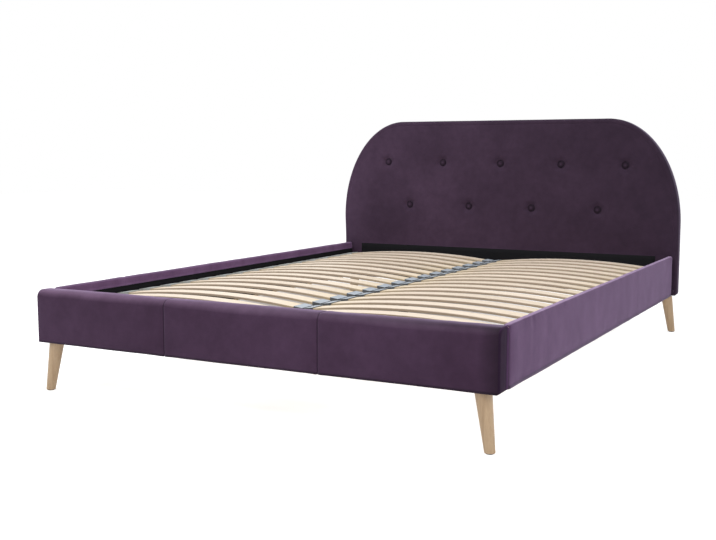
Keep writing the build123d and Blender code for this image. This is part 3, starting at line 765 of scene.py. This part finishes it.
def tuft(x, z):
    """The dent around the nearest button, with the small folds that its pull makes."""
    bx, bz = min(button_places(), key=lambda p: (p[0] - x) ** 2 + (p[1] - z) ** 2)
    dx, dz = x - bx, z - bz
    r = math.hypot(dx, dz)
    if r > tuft_reach:
        return 0.0
    run = tuft_mouth_radius - tuft_floor_radius
    if r < tuft_floor_radius:
        dent = tuft_depth
    elif r < tuft_mouth_radius:
        t = (tuft_mouth_radius - r) / run
        dent = tuft_depth * t * t
    else:
        dent = 0.0
    angle = math.atan2(dz, dx)
    seed = bx * 7 + bz * 13
    folds = 0.0013 * math.cos(5 * angle + seed) * bump_at(r - 0.026, 0.012)
    sideways = 0.0024 * bump_at(dz - 0.004 * math.sin(seed), 0.007) * bump_at(abs(dx) - 0.045, 0.035)
    return -(dent + folds + sideways * (0.5 + 0.5 * math.sin(seed * 3)))


def headboard_velvet(cloth):
    """The headboard's cover: a rounded rim, a border seam and a padded front with its tufts."""
    trail = headboard_outline()
    rim = headboard_rim_radius
    corner_stretch = 1.4142
    rings = []
    back = headboard_back + y_shift
    front = headboard_front + y_shift

    def offset_ring(inset, y_of):
        ring = []
        for x, z, nx, nz in trail:
            near = min(inset, headboard_foot_radius - 0.001)
            px, pz = x - nx * near, z - nz * near
            further = inset - near
            px -= max(-further, min(further, nx * further * corner_stretch))
            pz -= max(-further, min(further, nz * further * corner_stretch))
            ring.append((px, y_of(px, pz), pz))
        return ring

    for inset in (hem_width, hem_width / 2, 0.002, 0.0):
        rings.append(offset_ring(inset, lambda x, z: back))
    depth_stops = spread(back - 0.004, front + rim, headboard_step)
    for y in depth_stops[:-1]:
        rings.append(offset_ring(0.0, lambda x, z, y=y: y))
    for k in range(end_arc_steps + 1):
        angle = math.pi / 2 * k / end_arc_steps
        inset = rim * (1 - math.cos(angle))
        drop = rim * (1 - math.sin(angle))
        rings.append(offset_ring(inset, lambda x, z, d=drop: front + d - crown(z) * (1 - d / rim)))
    for inset in (0.0145, 0.0175, 0.0195, 0.021, 0.0225, 0.0245, 0.028):
        rings.append(offset_ring(inset, lambda x, z: front - crown(z)))
    points = [p for ring in rings for p in ring]
    faces = ring_faces(len(rings), len(trail))
    inner = [(x, z) for x, y, z in rings[-1]]
    flat_points, triangles = filled_outline(inner, tufted_scatter())
    first = len(points)
    points += [(x, front - crown(z), z) for x, z in flat_points]
    faces += [tuple(first + k for k in triangle) for triangle in triangles]
    piece = new_object("headboard_velvet", points, faces, cloth)
    weld(piece, headboard_weld_distance)

    def is_held(place):
        if edge_distance(place.x, place.z) < border_seam_inset + edge_hold or place.z < crown_start:
            return True
        return any(math.hypot(place.x - bx, place.z - bz) < tuft_floor_radius for bx, bz in button_places())

    fill_with_padding(piece, is_held, headboard_swell)

    slow, fine, rim_unevenness = 0.0011, 0.0004, 0.0003
    seam_depth, seam_width = 0.0010, 0.0016

    def relief(point, normal):
        """The border seam, uneven padding inside it, and the tufts."""
        if normal.y > -0.3:
            return rim_unevenness * swell(point, 9, 3)
        seam_distance = edge_distance(point.x, point.z) - border_seam_inset
        above = smooth_step(crown_start, crown_start + 0.02, point.z)
        seam = -seam_depth * bump_at(seam_distance, seam_width) * above
        pad = smooth_step(0.0, 0.03, seam_distance) * above
        padding = slow * swell((point.x, 0, point.z), 4.0, 31) * pad
        padding += fine * swell((point.x, 0, point.z), 15, 37) * pad
        return seam + padding + tuft(point.x, point.z) * pad

    push(piece, relief)
    return make_cloth(piece)


def filled_outline(ring, scatter):
    """Triangles that fill a closed outline, with the scattered points inside it as corners."""
    edges = [(k, (k + 1) % len(ring)) for k in range(len(ring))]
    spots = [Vector(p) for p in ring] + [Vector(p) for p in scatter]
    found = delaunay_2d_cdt(spots, edges, [], 1, 1e-6)
    return [tuple(v) for v in found[0]], [tuple(f) for f in found[2]]


def tufted_scatter():
    """Points over the headboard's front: an even grid, and rings around each button."""
    grid, ring_gap, near, margin = 0.008, 0.004, 0.062, 0.033
    row_share = 0.866
    places = []
    rows = spread(frame_bottom + margin, headboard_top - margin, grid * row_share)
    for r, z in enumerate(rows):
        for x in spread(-headboard_half + margin, headboard_half - margin, grid):
            spot = (x + grid / 2 * (r % 2), z)
            if edge_distance(*spot) < margin:
                continue
            if all(math.hypot(spot[0] - bx, spot[1] - bz) > near for bx, bz in button_places()):
                places.append(spot)
    for bx, bz in button_places():
        places.append((bx, bz))
        for k in range(1, 16):
            radius = ring_gap * k
            around = min(48, max(8, 4 * k))
            for j in range(around):
                angle = 2 * math.pi * (j + 0.5 * (k % 2)) / around
                places.append((bx + radius * math.cos(angle), bz + radius * math.sin(angle)))
    return places


def weld(piece, distance):
    """Joins points that lie together, as where a fold meets the cover."""
    mesh = bmesh.new()
    mesh.from_mesh(piece.data)
    bmesh.ops.remove_doubles(mesh, verts=mesh.verts, dist=distance)
    mesh.to_mesh(piece.data)
    mesh.free()
    piece.data.update()


def edge_distance(x, z):
    """Distance of a point of the front face from the headboard's outline."""
    spring = headboard_top - corner_height
    flat = headboard_half - corner_width
    side = headboard_half - abs(x)
    if z < spring:
        return min(side, z - frame_bottom)
    if abs(x) < flat:
        return headboard_top - z
    dx, dz = (abs(x) - flat) / corner_width, (z - spring) / corner_height
    reach = math.hypot(dx, dz)
    if reach < 1e-6:
        return side
    slope = math.hypot(dx / corner_width, dz / corner_height) / reach
    return (1 - reach) / slope if reach > 0.3 else side


# Linings: thin sheets stapled to the boards
def sheet_grid(name, corner, across, up, thickness, cloth, ripple, seed):
    """A flat sheet from a corner along two vectors, thickened along its normal."""
    corner, across, up = Vector(corner), Vector(across), Vector(up)
    columns = max(2, round(across.length / lining_step))
    rows = max(2, round(up.length / lining_step))
    out = across.cross(up).normalized()
    points = []
    for layer in (0, 1):
        for r in range(rows + 1):
            for c in range(columns + 1):
                place = corner + across * (c / columns) + up * (r / rows)
                edge = min(c, columns - c, r, rows - r)
                wave = ripple * swell(place, 9, seed) * min(1.0, edge / 2)
                points.append(tuple(place + out * (thickness * layer + wave)))
    size = (rows + 1) * (columns + 1)
    faces = []
    for r in range(rows):
        for c in range(columns):
            a = r * (columns + 1) + c
            quad = (a, a + 1, a + columns + 2, a + columns + 1)
            faces.append(tuple(reversed(quad)))
            faces.append(tuple(size + k for k in quad))
    border = list(range(columns + 1))
    border += [r * (columns + 1) + columns for r in range(1, rows + 1)]
    border += [rows * (columns + 1) + c for c in range(columns - 1, -1, -1)]
    border += [r * (columns + 1) for r in range(rows - 1, 0, -1)]
    for k, a in enumerate(border):
        b = border[(k + 1) % len(border)]
        faces.append((a, b, b + size, a + size))
    return new_object(name, points, faces, cloth)


def place_sheet(piece, node, area=None):
    """Attaches a lining to the frame's body and hides the node it stands for. The area argument is not
    used.
    """
    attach(piece, "frame")
    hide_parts(node)


def hang_sheet(node, corner, run, height, cloth, ripple, seed):
    """A lining that stands upright along run, stapled to its board."""
    rise = (0, 0, height)
    piece = sheet_grid(node + "_sheet", corner, run, rise, lining_thickness, cloth, ripple, seed)
    place_sheet(piece, node)


def linings():
    """The five sheets: two in the rails, one in the footboard, and a band and a back on the headboard."""
    cloth = lining_cloth()
    low = lining_bottom
    height = fold_bottom - joint_gap - low
    start = footboard_thickness + lining_end_margin + y_shift
    end = headboard_front - lining_end_margin + y_shift
    rail_ripple, wide_ripple = 0.0002, 0.0003
    corner, run = (rail_face, end, low), (0, start - end, 0)
    hang_sheet("right_rail_lining", corner, run, height, cloth, rail_ripple, 5)
    corner, run = (-rail_face, start, low), (0, end - start, 0)
    hang_sheet("left_rail_lining", corner, run, height, cloth, rail_ripple, 8)

    half = footboard_half - hem_width - joint_gap
    low = lining_bottom + joint_gap
    height = footboard_fold_bottom - joint_gap - low
    corner, run = (half, footboard_thickness - lining_thickness + y_shift, low), (-2 * half, 0, 0)
    hang_sheet("footboard_lining", corner, run, height, cloth, wide_ripple, 12)

    half = lining_band_half
    height = frame_top - lining_band_drop - lining_bottom
    corner, run = (-half, headboard_front + y_shift, lining_bottom), (2 * half, 0, 0)
    hang_sheet("headboard_lining_band", corner, run, height, cloth, wide_ripple, 15)

    back = back_lining(cloth)
    corner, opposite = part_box("headboard_back_lining")
    place_sheet(back, "headboard_back_lining", outline_area(hem_width + joint_gap))


def inset_outline(inset):
    """The headboard's outline, drawn in by inset."""
    return [(x - nx * inset, z - nz * inset) for x, z, nx, nz in headboard_outline()]


def outline_area(inset):
    """Area inside the drawn-in outline, by the sum over its corners."""
    ring = inset_outline(inset)
    total = sum(ring[k - 1][0] * ring[k][1] - ring[k][0] * ring[k - 1][1] for k in range(len(ring)))
    return abs(total) / 2


def back_lining(cloth):
    """The dust cloth on the headboard's back, stapled along its edge."""
    ring = inset_outline(hem_width + joint_gap)
    grid = 0.03
    inside = [
        (x, z)
        for x in spread(-headboard_half, headboard_half, grid)
        for z in spread(frame_bottom, headboard_top, grid)
        if edge_distance(x, z) > grid
    ]
    flat_points, triangles = filled_outline(ring, inside)
    y = headboard_back - cover_thickness + y_shift + lining_thickness
    points = []
    for x, z in flat_points:
        slack = smooth_step(0.015, 0.06, edge_distance(x, z))
        points.append((x, y + 0.0004 * swell((x, 0, z), 7, 41) * slack, z))
    faces = [tuple(reversed(triangle)) for triangle in triangles]
    piece = new_object("headboard_back_lining_sheet", points, faces, cloth)
    return make_cloth(piece, lining_thickness)


# Painted light and shade on the velvet: lighter tops and folds, darker seams, dents, ends and hems
def shade_footboard(fabric):
    """Painted light and shade: a painted highlight over the top that fades towards +x, and painted shade in
    the seams, towards the +x end and along the hem.
    """
    tree = fabric[1]
    across, _, up = place_parts(tree)
    top = facing(tree, "Z", 0.3, 0.5)
    highlight_fade_start, highlight_fade_width = -0.5, 1.2
    seam_shade_width, end_shade_width, hem_shade_width = 0.0035, 0.060, 0.004
    # Painted highlight over the top, fading out towards +x
    paint_light_on_velvet(fabric, top, (2.7, 3.2, 2.7))
    paint_light_on_velvet(fabric, maths(tree, "MULTIPLY", top, beyond(tree, across, highlight_fade_start, highlight_fade_width)), 0.32)
    # Painted shade in the seams, towards the +x end and along the hem
    for place in seam_places:
        paint_light_on_velvet(fabric, near_place(tree, across, place, seam_shade_width), 0.45)
    paint_light_on_velvet(fabric, beyond(tree, across, footboard_half - end_shade_width, end_shade_width), 0.4)
    above_hem = beyond(tree, up, frame_bottom + hem_shade_width, hem_shade_width)
    paint_light_on_velvet(fabric, inverse(tree, above_hem), 0.45)


def shade_footboard_end(fabric):
    """An end of the footboard: dark at the front from its shaded cloth, a painted highlight on the top and
    on a fold, and painted shade again at the rail.
    """
    tree = fabric[1]
    depth = maths(tree, "SUBTRACT", place_parts(tree)[1], y_shift)
    # Painted highlight on the top and along the fold, and painted shade where the end meets the rail
    paint_light_on_velvet(fabric, facing(tree, "Z", 0.3, 0.5), 2.4)
    fold_highlight, fold_highlight_width = 0.060, 0.010
    rail_shade_start, rail_shade_width = 0.068, 0.006
    paint_light_on_velvet(fabric, near_place(tree, depth, fold_highlight, fold_highlight_width), 3.2)
    paint_light_on_velvet(fabric, beyond(tree, depth, rail_shade_start, rail_shade_width), 0.35)


def shade_headboard(fabric):
    """Painted shade around each button and towards the +x side, with a painted highlight on each button."""
    tree = fabric[1]
    across = place_parts(tree)[0]
    distance = distance_to_buttons(tree)
    dent_shade_width, button_rim_shade_width, glint_width = 0.005, 0.004, 0.007
    # Painted shade in and around each button's dent, a painted highlight on its middle, and painted shade
    # towards +x
    paint_light_on_velvet(fabric, inverse(tree, beyond(tree, distance, button_radius, dent_shade_width)), 0.6)
    paint_light_on_velvet(fabric, near_place(tree, distance, button_radius, button_rim_shade_width), 0.4)
    paint_light_on_velvet(fabric, near_place(tree, distance, 0.0, glint_width), 1.9)
    paint_light_on_velvet(fabric, beyond(tree, across, -headboard_half, 2 * headboard_half), 0.55)


def shade_rail(fabric):
    """Painted light on the top edge, more on the right rail, and inside the left rail, and painted shade
    along the hem.
    """
    tree = fabric[1]
    across, _, up = place_parts(tree)
    on_left = maths(tree, "LESS_THAN", across, 0.0)
    top = facing(tree, "Z", 0.5, 0.4)
    paint_light_on_velvet(fabric, top, (1.3, 1.5, 1.3))
    paint_light_on_velvet(fabric, maths(tree, "MULTIPLY", top, inverse(tree, on_left)), (2.4, 2.8, 2.4))
    inner_left = maths(tree, "MULTIPLY", facing(tree, "X", 0.4, 0.3), on_left)
    paint_light_on_velvet(fabric, inner_left, 1.6)
    # Painted shade along the hem
    hem_shade_height, hem_shade_width = 0.007, 0.004
    above_hem = beyond(tree, up, frame_bottom + hem_shade_height, hem_shade_width)
    paint_light_on_velvet(fabric, inverse(tree, above_hem), 0.2)


def paint_where(piece, cloth, chosen):
    """Gives the chosen faces of a piece a second cloth."""
    piece.data.materials.append(cloth)
    for polygon in piece.data.polygons:
        if chosen(polygon):
            polygon.material_index = 1


def at_footboard_end(face):
    return abs(face.normal.x) > 0.5 and abs(face.center.x) > footboard_half - 0.01


def on_headboard_rim(face):
    return abs(face.normal.y) < 0.5 and face.center.z > frame_bottom + 0.01


# Everything together
def dress_soft_parts():
    """The velvet covers over their padding; returns the headboard's cloth, for the buttons."""
    # All five are one purple velvet: their different base colours are painted light and shade, lightest on
    # the rails and darkest in the shaded copies for the footboard's ends and the headboard's rim
    rail_fabric = velvet("rail_velvet_cloth", (0.074, 0.037, 0.083), (0.110, 0.060, 0.122), 0.5, (1, 3, 1))
    foot_fabric = velvet("footboard_velvet_cloth", (0.040, 0.019, 0.040), (0.064, 0.033, 0.066), 0.8)
    shaded_end_fabric = velvet("footboard_end_shaded_cloth", (0.016, 0.0065, 0.019), (0.024, 0.010, 0.028), 0.06)
    head_fabric = velvet("headboard_velvet_cloth", (0.047, 0.027, 0.050), (0.074, 0.043, 0.078), 0.45)
    shaded_rim_fabric = velvet("headboard_rim_shaded_cloth", (0.018, 0.010, 0.020), (0.028, 0.016, 0.030), 0.3)
    shade_footboard(foot_fabric)
    shade_footboard_end(shaded_end_fabric)
    shade_headboard(head_fabric)
    shade_rail(rail_fabric)
    rail_cloth, foot_cloth, head_cloth = rail_fabric[0], foot_fabric[0], head_fabric[0]
    right = rail_velvet("right_rail_velvet", rail_cloth, seed=2.0, pucker_at=0.27)
    left = rail_velvet("left_rail_velvet", rail_cloth, seed=9.0, pucker_at=0.42)
    mirror(left)
    foot = footboard_velvet(foot_cloth)
    # The footboard's ends and the headboard's rim get the darker shaded copies: painted shade
    paint_where(foot, shaded_end_fabric[0], at_footboard_end)
    head = headboard_velvet(head_cloth)
    paint_where(head, shaded_rim_fabric[0], on_headboard_rim)
    covers = ((right, "right_rail"), (left, "left_rail"), (foot, "footboard"), (head, "headboard"))
    for piece, part in covers:
        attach(piece, "frame")
        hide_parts(part + "_cover", part + "_foam")
    return head_cloth


def dress_hard_parts(head_cloth):
    """Gives every node of the CAD model the material of its slot."""
    by_slot = {
        "button_velvet": head_cloth,
        "plum_velvet": head_cloth,
        "padding": foam_padding(),
        "black_lining": lining_cloth(),
        "frame_board": flecked_board(),
        "softwood": grain("planed_softwood", (50, 3, 50), (0.66, 0.47, 0.27), (0.52, 0.34, 0.17))[0],
        "slat_wood": slat_wood(),
        "leg_wood": grain("leg_beech", (70, 70, 5), (0.46, 0.325, 0.20), (0.355, 0.235, 0.135), 12, 0.4)[0],
        "zinc_steel": metal("zinc_plate", (0.62, 0.63, 0.64), roughness=0.35, metallic=1.0),
        "black_steel": metal("black_powder_coat", (0.02, 0.02, 0.022), roughness=0.5, metallic=0.0),
        "pale_plastic": plastic("pale_grey_plastic", (0.50, 0.53, 0.52)),
        "grey_plastic": plastic("blue_grey_plastic", (0.42, 0.47, 0.53), side_shade_share=0.2),
        "black_plastic": plastic("black_plastic", (0.02, 0.02, 0.022)),
    }
    slots = {part["node"]: part["material_slot"] for part in frame["record"]["subparts"]}
    for name, node in nodes.items():
        node.data.materials.clear()
        node.data.materials.append(by_slot[slots[name]])


def shaded_floor(tree):
    """Painted shadow on the floor: 1 in the middle of the soft shade under the bed's rear and beside it, 0
    outside it.
    """
    across, along, _ = place_parts(tree)
    middle_x, middle_y, reach_x, reach_y, full_share = -0.85, 1.15, 1.15, 1.35, 0.45
    dx = maths(tree, "DIVIDE", maths(tree, "SUBTRACT", across, middle_x), reach_x)
    dy = maths(tree, "DIVIDE", maths(tree, "SUBTRACT", along, middle_y), reach_y)
    away = beyond(tree, length_of(tree, dx, dy), full_share, 1 - full_share)
    return inverse(tree, maths(tree, "SMOOTH_MIN", away, 1.0, 0.3))


def seen_ray(tree):
    """1 for what the camera sees directly or in a reflection or through something clear."""
    ray = tree.nodes.new("ShaderNodeLightPath")
    mirrored_too = maths(tree, "MAXIMUM", ray.outputs["Is Camera Ray"], ray.outputs["Is Glossy Ray"])
    return maths(tree, "MAXIMUM", mirrored_too, ray.outputs["Is Transmission Ray"])


def studio():
    """White floor with a painted soft shadow under and beside the bed's rear, white surroundings, and three
    soft lamps.
    """
    floor_mesh = bpy.data.meshes.new("studio_floor")
    reach = 14.0
    corners = [(-reach, -reach, 0), (reach, -reach, 0), (reach, reach, 0), (-reach, reach, 0)]
    floor_mesh.from_pydata(corners, [], [(0, 1, 2, 3)])
    add_to_scene(bpy.data.objects.new("studio_floor", floor_mesh))
    white_paint, tree, shader = material("floor_white", roughness=0.9, specular=0.0)
    glow = tree.nodes.new("ShaderNodeEmission")
    seen = seen_ray(tree)
    shaded = shaded_floor(tree)
    # Painted shadow: in the patch, seen rays get a darker floor colour and less glow
    seen_shade = maths(tree, "MULTIPLY", shaded, seen)
    pale, painted_shadow_grey, glow_strength = (0.9, 0.9, 0.9), (0.50, 0.46, 0.43), 0.62
    paint(tree, shader, mix_colours(tree, seen_shade, pale, painted_shadow_grey))
    lit = maths(tree, "MULTIPLY", inverse(tree, shaded), glow_strength)
    tree.links.new(maths(tree, "MULTIPLY", seen, lit), glow.inputs["Strength"])
    both = tree.nodes.new("ShaderNodeAddShader")
    tree.links.new(shader.outputs["BSDF"], both.inputs[0])
    tree.links.new(glow.outputs["Emission"], both.inputs[1])
    tree.links.new(both.outputs["Shader"], tree.nodes["Material Output"].inputs["Surface"])
    floor_mesh.materials.append(white_paint)

    world = bpy.data.worlds.new("studio_world")
    bpy.context.scene.world = world
    world.use_nodes = True
    tree = world.node_tree
    soft = tree.nodes["Background"]
    soft.inputs["Color"].default_value = (1, 1, 1, 1)
    soft.inputs["Strength"].default_value = 0.55
    white = tree.nodes.new("ShaderNodeBackground")
    white.inputs["Color"].default_value = (1, 1, 1, 1)
    white.inputs["Strength"].default_value = 1.0
    choose = tree.nodes.new("ShaderNodeMixShader")
    tree.links.new(seen_ray(tree), choose.inputs[0])
    tree.links.new(soft.outputs[0], choose.inputs[1])
    tree.links.new(white.outputs[0], choose.inputs[2])
    tree.links.new(choose.outputs[0], tree.nodes["World Output"].inputs["Surface"])

    area_light("key_light", (-2.2, -3.2, 4.2), (0, 0, 0.2), size=3.0, power=110)
    area_light("fill_light", (3.2, -2.0, 2.2), (0, 0, 0.3), size=2.4, power=44)
    area_light("top_light", (0.0, 0.4, 4.5), (0, 0.2, 0), size=3.5, power=60)


def area_light(name, place, target, size, power):
    lamp = bpy.data.lights.new(name, "AREA")
    lamp.shape = "DISK"
    lamp.size = size
    lamp.energy = power
    light = add_to_scene(bpy.data.objects.new(name, lamp))
    light.location = place
    light.rotation_euler = (Vector(target) - Vector(place)).to_track_quat("-Z", "Y").to_euler()


def photo_camera():
    """The camera found from the photograph: its place, its turn, and its lens."""
    place = (1.71434, -2.44193 + y_shift, 0.77624)
    turn, tilt = 0.49396, 0.10896
    focal_pixels, width, height = 1027.57, 716, 540
    middle = (359.16, 267.05)
    lens = bpy.data.cameras.new("photo_camera")
    lens.sensor_width = 36
    lens.lens = focal_pixels / width * lens.sensor_width
    lens.shift_x = (width / 2 - middle[0]) / width
    lens.shift_y = (middle[1] - height / 2) / width
    camera = add_to_scene(bpy.data.objects.new("photo_camera", lens))
    aim = Matrix.Rotation(turn, 4, "Z") @ Matrix.Rotation(math.pi / 2 - tilt, 4, "X")
    camera.matrix_world = Matrix.Translation(place) @ aim
    bpy.context.scene.camera = camera


bpy.context.scene.view_settings.view_transform = "Standard"
photo_camera()
studio()
dress_hard_parts(dress_soft_parts())
linings()
